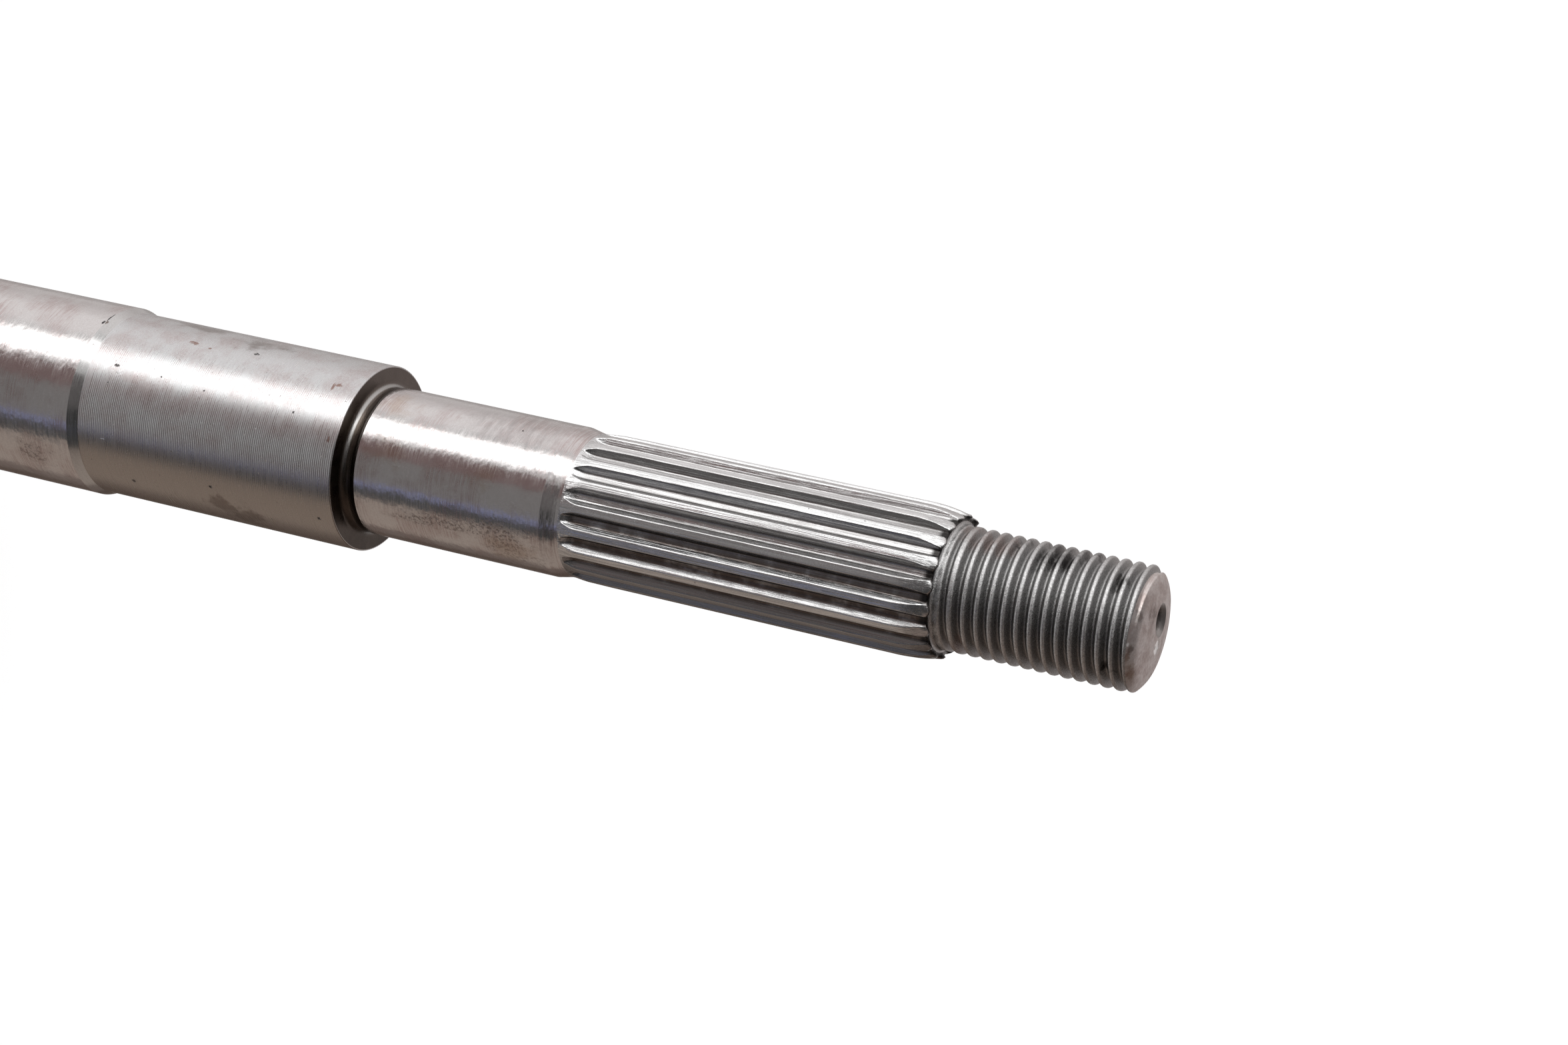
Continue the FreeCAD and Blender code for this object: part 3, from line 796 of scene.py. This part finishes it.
# Brown dirt and painted shade at the bottom of the gaps, darker on the lower side.
dirt_and_shade = both(splined, radius_mask(splined, 8.0, 7.68), ramp(
    splined, use(splined, patches, Size=2.0, Cover=0.6, Softness=0.2), 0.0, 1.0, 0.55, 1.0))
dirt_and_shade = both(splined, dirt_and_shade, ramp(splined, below, 0.0, 1.0, 0.3, 1.0))
# A painted shadow where the teeth meet their end face.
end_shadow = both(splined, radius_mask(splined, 7.86, 7.68), height_mask(splined, 156.3, 157.0))
color = layered(splined, (0.65, 0.65, 0.65, 1), (
    (along, 0.6, (0.25, 0.247, 0.245, 1)), (grain, 0.22, (0.2, 0.19, 0.185, 1)),
    (shaded_flanks, 0.7, (0.14, 0.137, 0.135, 1)), (shaded_underside, 0.75, (0.17, 0.165, 0.165, 1)),
    (dirt_and_shade, 1.0, (0.1, 0.08, 0.07, 1)), (nicks, 0.6, BLACK), (end_shadow, 1.0, BLACK)))
rough = ramp(splined, along, 0.0, 1.0, 0.17, 0.3)
finish_steel(splined, color, rough, (
    (along, 0.012), (broad, 0.008), (grain, 0.003), (nicks, -0.015)))

# The thread: cut, dull and grainy, with painted shade in its grooves, black soot in the
# grooves on the upper side and a little rust.
threaded = new_finish("threaded_steel")
grain = use(threaded, grained, Scale=4.5)
fine = use(threaded, grained, Scale=11.0)
# Painted shade: below the crests, the grooves are darker.
shaded_grooves = radius_mask(threaded, 6.84, 6.66)
sooty = marks(threaded, 6.4, 3.0, 0.2, (
    (74, 168.6, 3.4, 1.8), (60, 170.4, 3.2, 1.7), (80, 172.2, 2.4, 2.0), (48, 168.8, 1.8, 1.6),
    (42, 176.8, 1.8, 0.9), (74, 164.9, 1.8, 1.0), (-50, 177, 1.0, 1.2)))
sooty = both(threaded, sooty, ramp(threaded, shaded_grooves, 0.0, 1.0, 0.6, 0.93))
rusty = marks(threaded, 6.6, 2.4, 0.1, (
    (74, 159, 3.0, 1.6), (62, 162.5, 3.0, 3.5), (-70, 160, 3.0, 2.0)))
color = layered(threaded, (0.52, 0.517, 0.515, 1), (
    (shaded_grooves, 1.0, (0.28, 0.277, 0.274, 1)), (grain, 0.4, (0.12, 0.118, 0.116, 1)),
    (rusty, 0.45, (0.2, 0.13, 0.11, 1)), (sooty, 1.0, BLACK)))
finish_steel(threaded, color, ramp(threaded, fine, 0.0, 1.0, 0.25, 0.4), (
    (grain, 0.016), (fine, 0.008)))

# The tip: turned, and dull now, grey and pinkish brown, with dark oil marks, rust at its
# edge and one dent. The dent's white and a glint at the edge are painted highlights.
tipped = new_finish("tip_steel")
grain = use(tipped, grained, Scale=3.0)
stain = use(tipped, patches, Size=2.0, Cover=0.48, Softness=0.14)
# A real dent, painted white as a highlight.
dent_and_highlight = mark(tipped, 1.63, -108, 180.6, 0.95, 2.0, 1.2, 0.5)
dot = mark(tipped, 1.7, -100, 180.6, 0.3, 1.0, 1.2, 0.4)
blots = any_of(tipped, [mark(tipped, *row, 2.6, 0.2) for row in (
    (6.0, 12, 179.9, 0.9, 0.8), (6.2, -22, 179.6, 0.7, 0.7), (3.4, 30, 180.4, 1.3, 1.5))])
glint = mark(tipped, 6.5, -17, 179.2, 0.36, 0.36, 1.2)
rusty = any_of(tipped, [mark(tipped, *row, 2.6, 0.2) for row in (
    (6.4, -50, 179.6, 1.6, 0.9), (6.6, -30, 179.4, 0.8, 0.5))])
color = layered(tipped, (0.6, 0.56, 0.545, 1), (
    (stain, 1.0, (0.44, 0.375, 0.355, 1)), (grain, 0.2, (0.25, 0.21, 0.2, 1)),
    (blots, 0.6, BROWN), (rusty, 0.55, (0.2, 0.12, 0.07, 1)),
    (any_of(tipped, [dent_and_highlight, glint]), 1.0, (0.97, 0.97, 0.97, 1)), (dot, 1.0, BLACK)))
finish_steel(tipped, color, ramp(tipped, grain, 0.0, 1.0, 0.38, 0.5), (
    (grain, 0.012), (dent_and_highlight, -0.12)))

# The centre holes: drilled, with a lighter rim. The tip's hole is dark inside, with oil and painted
# shade.
drilled = new_finish("hole_steel")
grain = use(drilled, streaks, Around=1.0, Along=8.0)
# Oil and painted shade: the tip's hole is dark inside this mark.
inside = mark(drilled, -tip_hole_x, 90, tip_height, 1.55, 9.0, 0.4, 0.85)
oil_and_shade = layered(drilled, (0.06, 0.052, 0.048, 1), ((grain, 1.0, (0.11, 0.095, 0.09, 1)),))
color = mix_colors(drilled, inside, (0.3, 0.28, 0.27, 1), oil_and_shade)
finish_steel(drilled, color, ramp(drilled, grain, 0.0, 1.0, 0.35, 0.45), ((grain, 0.006),))

for name in FINISHES:
    mesh.materials.append(bpy.data.materials[name])

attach(shaft, "root")
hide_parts(NODE)

# The studio: a plain pale floor under a white sky. Both are brighter where they are seen
# than in the light that they give, so that the background is white and the shaft isn't.
FLOOR_GLOW = 0.21
SKY_LIGHT = 0.55


def seen_directly(tree):
    """A mask that is 1 for what the camera, a reflection or a transparency shows."""
    path = place(tree, "LightPath").outputs
    either = calculate(tree, "MAXIMUM", path["Is Camera Ray"], path["Is Glossy Ray"])
    return calculate(tree, "MAXIMUM", either, path["Is Transmission Ray"])


bpy.ops.mesh.primitive_plane_add(size=8)
floor = bpy.context.object
floor.name = "floor"
floor.visible_glossy = False
pale = bpy.data.materials.new("pale_floor")
pale.use_nodes = True
tree = pale.node_tree
paint = tree.nodes["Principled BSDF"]
paint.inputs["Base Color"].default_value = (0.85, 0.85, 0.85, 1)
paint.inputs["Roughness"].default_value = 0.9
paint.inputs["Emission Color"].default_value = (1, 1, 1, 1)
glow = calculate(tree, "MULTIPLY", seen_directly(tree), FLOOR_GLOW)
tree.links.new(glow, paint.inputs["Emission Strength"])
floor.data.materials.append(pale)

world = bpy.data.worlds.new("studio")
world.use_nodes = True
bpy.context.scene.world = world
sky = world.node_tree
backdrop = sky.nodes["Background"]
backdrop.inputs["Color"].default_value = (1, 1, 1, 1)
level = place(sky, "MapRange", Value=seen_directly(sky), To_Min=SKY_LIGHT, To_Max=1.0)
sky.links.new(level.outputs[0], backdrop.inputs["Strength"])

# Cards stand round the shaft, because bright metal shows only what it reflects. They show
# in it and nowhere else. Their places are angles from -Y, round towards -X, and heights in
# metres.
CARD_DISTANCE = 0.7
CARD_FOOT = -0.9
CARD_SPLIT = 0.03
BACK_SPLIT = 0.1
CARD_TOP = 1.2
CARD_STRIPS = 16
TOP_CORNERS = 72


def card(name, corners, strips, color, strength=1.0):
    """A glowing card that shows only in reflections."""
    data = bpy.data.meshes.new(name)
    data.from_pydata(corners, [], strips)
    glowing = bpy.data.materials.new(name)
    glowing.use_nodes = True
    tree = glowing.node_tree
    tree.nodes.clear()
    emission = place(tree, "Emission", Color=(*color, 1), Strength=strength)
    place(tree, "OutputMaterial", Surface=emission.outputs[0])
    glowing.cycles.emission_sampling = "NONE"
    data.materials.append(glowing)
    piece = bpy.data.objects.new(name, data)
    piece.visible_camera = False
    piece.visible_diffuse = False
    piece.visible_shadow = False
    piece.visible_transmission = False
    bpy.context.scene.collection.objects.link(piece)


def card_point(turn, height):
    turn = math.radians(turn)
    return (-CARD_DISTANCE * math.sin(turn), -CARD_DISTANCE * math.cos(turn), height)


for name, start, end, low, high, color, strength in (
        ("bright_card", 35, 62, CARD_FOOT, CARD_TOP, (1, 1, 1), 3.5),
        ("white_card", 74, 106, CARD_FOOT, CARD_TOP, (1, 0.97, 0.97), 1.28),
        ("light_card", 106, 115, CARD_FOOT, CARD_TOP, (1, 0.96, 0.955), 1.1),
        ("pale_card", 115, 126, CARD_FOOT, CARD_TOP, (0.94, 0.89, 0.885), 1),
        ("paler_grey_card", 126, 150, CARD_FOOT, CARD_TOP, (0.78, 0.74, 0.73), 1),
        ("low_back_card", 150, 192, CARD_FOOT, BACK_SPLIT, (0.47, 0.44, 0.43), 1),
        ("high_back_card", 150, 210, BACK_SPLIT, CARD_TOP, (0.58, 0.53, 0.52), 1),
        ("low_maroon_card", 4, 28, CARD_FOOT, CARD_SPLIT, (0.27, 0.195, 0.19), 1),
        ("low_grey_card", -40, 4, CARD_FOOT, CARD_SPLIT, (0.29, 0.28, 0.278), 1),
        ("low_violet_card", -47, -40, CARD_FOOT, CARD_SPLIT, (0.31, 0.33, 0.52), 1),
        ("low_dark_card", -66, -47, CARD_FOOT, CARD_SPLIT, (0.11, 0.11, 0.11), 1),
        ("low_warm_card", -124, -66, CARD_FOOT, CARD_SPLIT, (0.47, 0.395, 0.345), 1),
        ("low_dim_card", -142, -124, CARD_FOOT, CARD_SPLIT, (0.22, 0.175, 0.155), 1),
        ("low_brown_card", -168, -142, CARD_FOOT, CARD_SPLIT, (0.12, 0.09, 0.075), 1),
        ("high_grey_card", -20, 20, CARD_SPLIT, CARD_TOP, (0.16, 0.15, 0.15), 1),
        ("high_dark_card", -66, -20, CARD_SPLIT, CARD_TOP, (0.06, 0.06, 0.06), 1),
        ("high_warm_card", -118, -66, CARD_SPLIT, CARD_TOP, (0.28, 0.22, 0.19), 1),
        ("high_brown_card", -150, -118, CARD_SPLIT, CARD_TOP, (0.15, 0.115, 0.095), 1)):
    turns = [between(start, end, step / CARD_STRIPS) for step in range(CARD_STRIPS + 1)]
    card(name, [card_point(turn, height) for turn in turns for height in (low, high)],
         [(2 * step, 2 * step + 1, 2 * step + 3, 2 * step + 2) for step in range(CARD_STRIPS)],
         color, strength)
card("top_card", [card_point(360 * corner / TOP_CORNERS, CARD_TOP) for corner in range(TOP_CORNERS)],
     [range(TOP_CORNERS)], (0.17, 0.16, 0.16))

# The lamp: one soft sun, which shines down on the shaft and doesn't show in it.
SHINE = Vector((0.25, 0.15, -0.9))
overhead_data = bpy.data.lights.new("overhead", "SUN")
overhead_data.energy = 1.4
overhead_data.angle = math.radians(25)
overhead = bpy.data.objects.new("overhead", overhead_data)
overhead.rotation_euler = SHINE.to_track_quat("-Z", "Y").to_euler()
overhead.visible_glossy = False
bpy.context.scene.collection.objects.link(overhead)

# The camera looks down on the shaft from the thread's side, rolled so that the shaft lies
# across the picture.
camera_data = bpy.data.cameras.new("camera")
camera_data.lens = 74.09
camera_data.sensor_width = 36
camera_data.clip_start = 0.01
camera = bpy.data.objects.new("camera", camera_data)
camera.location = (0.0, -0.328793, 0.267860)
camera.rotation_euler = [math.radians(turn) for turn in (-28.32167, -65.11863, 121.20640)]
bpy.context.scene.collection.objects.link(camera)
bpy.context.scene.camera = camera
bpy.context.scene.view_settings.view_transform = "Standard"
